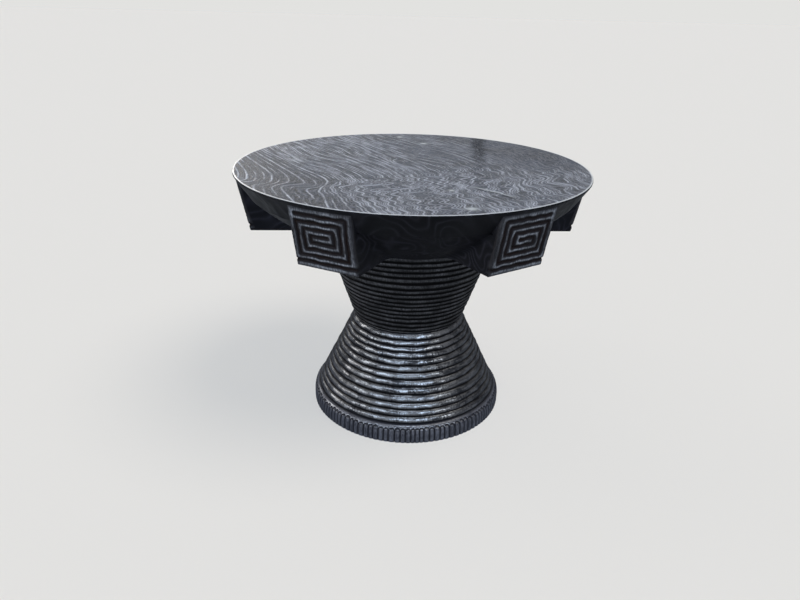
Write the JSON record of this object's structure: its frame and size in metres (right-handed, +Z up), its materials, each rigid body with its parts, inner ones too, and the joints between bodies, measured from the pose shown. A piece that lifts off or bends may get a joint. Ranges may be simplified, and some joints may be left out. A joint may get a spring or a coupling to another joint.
{
  "type": "side table",
  "caption": "Round carved side table: thick undercut top, scooped apron with square-spiral blocks, ringed hourglass base and reeded plinth.",
  "frame": {"origin": "centre of the plinth's underside, on the floor under the table's axis", "axes": "+Z up along the table's axis, -Y towards the viewer, +X to the viewer's right"},
  "size_m": [0.61, 0.6099, 0.454],
  "materials": {
    "top_finish": "blackened and sealed, satin to semi-gloss, with fine silvery grain lines",
    "carved_finish": "blackened and sealed, semi-gloss, with brown showing in the carved grooves",
    "bare_wood": "unfinished brown hardwood"
  },
  "bodies": {
    "root": {"tabletop": "top_finish", "apron_block_1": "carved_finish", "apron_block_2": "carved_finish", "apron_block_3": "carved_finish", "apron_block_4": "carved_finish", "apron_block_5": "carved_finish", "apron_block_6": "carved_finish", "apron_core": "bare_wood", "core_keys": "bare_wood", "seam_keys": "bare_wood", "upper_cone": "carved_finish", "lower_cone": "carved_finish", "plinth": "carved_finish"}
  },
  "joints": []
}
